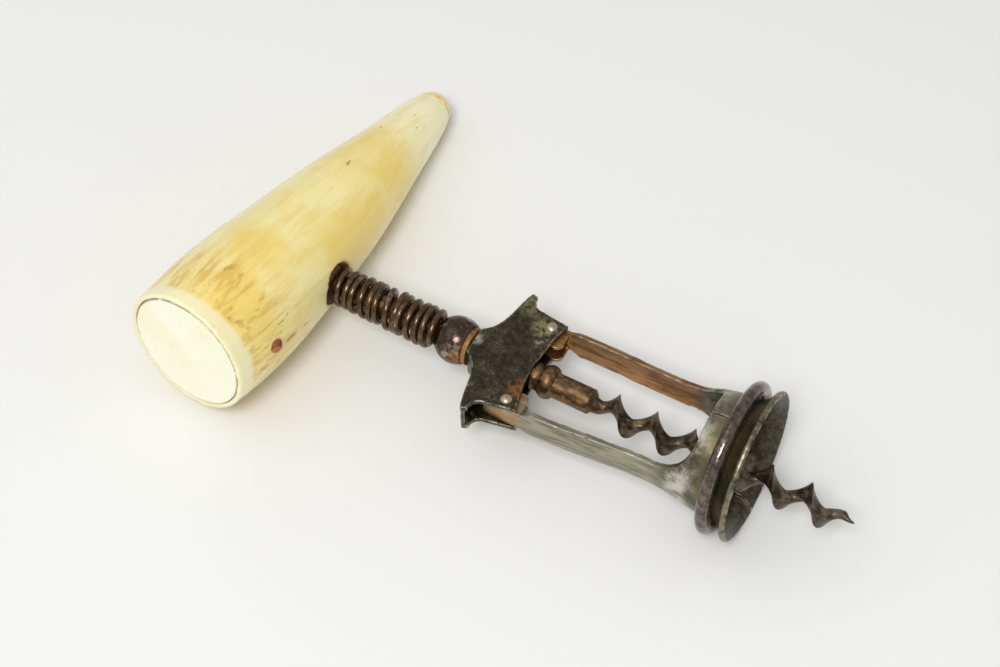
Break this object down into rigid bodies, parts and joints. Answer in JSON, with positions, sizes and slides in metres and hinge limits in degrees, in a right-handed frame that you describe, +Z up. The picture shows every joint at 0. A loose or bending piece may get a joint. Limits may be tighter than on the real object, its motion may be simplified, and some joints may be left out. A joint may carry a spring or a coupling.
{
  "type": "corkscrew",
  "caption": "Spring-assisted open-frame corkscrew with a tusk handle, a winged head, a hinged split frame and a sliding locking ring.",
  "frame": {"origin": "middle of the object on the table it lies on: the centre of its bounding box in X and Y, at the lowest point in Z", "axes": "+X along the shank towards the worm's point, +Y across it towards the tusk's tip, +Z up from the table"},
  "size_m": [0.1528, 0.0986, 0.0337],
  "materials": {
    "tusk": "polished old tusk, cream with ochre streaks",
    "tusk_plug": "polished, paler end grain",
    "tusk_tip": "polished, honey coloured",
    "core_wood": "plain",
    "copper_pin": "copper, tarnished",
    "dark_iron": "dark, rusted",
    "shank_steel": "old steel, brown rust, dark worm",
    "spring_steel": "old steel wire, rust between the turns",
    "ball_steel": "polished steel gone dark, rust on one side",
    "brass_washer": "tarnished",
    "head_iron": "near black with speckled pale corrosion",
    "pin_steel": "worn dome",
    "frame_steel": "worn plating outside, brown rust inside",
    "ring_steel": "dark polished steel"
  },
  "bodies": {
    "handle": {"tusk_handle": "tusk", "end_plug": "tusk_plug", "tip_cap": "tusk_tip", "core_block": "core_wood", "handle_pin": "copper_pin", "ferrule": "dark_iron", "tang_burr": "dark_iron", "shank_worm": "shank_steel", "spring": "spring_steel"},
    "thrust": {"thrust_ball": "ball_steel", "thrust_washer": "brass_washer"},
    "head": {"head_saddle": "head_iron", "hinge_pin_near": "pin_steel", "hinge_pin_far": "pin_steel"},
    "half_near": {"frame_half_near": "frame_steel"},
    "half_far": {"frame_half_far": "frame_steel"},
    "ring": {"locking_ring": "ring_steel"}
  },
  "joints": [
    {"name": "spring_slide", "type": "slide", "parent": "handle", "child": "thrust", "axis": [-0.9999, 0, -0.014], "range_m": [0, 0.004], "stiffness_N_per_m": 2500, "springref_m": -0.004, "deforming": ["spring"]},
    {"name": "head_spin", "type": "hinge", "parent": "thrust", "child": "head", "pos_m": [0.00231, -0.01389, 0.01522], "axis": [0.9999, 0, 0.014], "continuous": true},
    {"name": "half_near_hinge", "type": "hinge", "parent": "head", "child": "half_near", "pos_m": [0.00234, -0.02425, 0.01521], "axis": [-0.0349, -0.0011, 0.9994], "range_deg": [-7.3, 0]},
    {"name": "half_far_hinge", "type": "hinge", "parent": "head", "child": "half_far", "pos_m": [0.00169, -0.00356, 0.01521], "axis": [-0.0349, -0.0011, 0.9994], "range_deg": [0, 7.3]},
    {"name": "ring_slide", "type": "slide", "parent": "head", "child": "ring", "axis": [-0.9989, -0.0314, -0.0349], "range_m": [0, 0.045]}
  ],
  "couplings": [
    {"joint": "half_near_hinge", "follows": "ring_slide", "rad_per_m": -2.7925},
    {"joint": "half_far_hinge", "follows": "ring_slide", "rad_per_m": 2.7925}
  ]
}
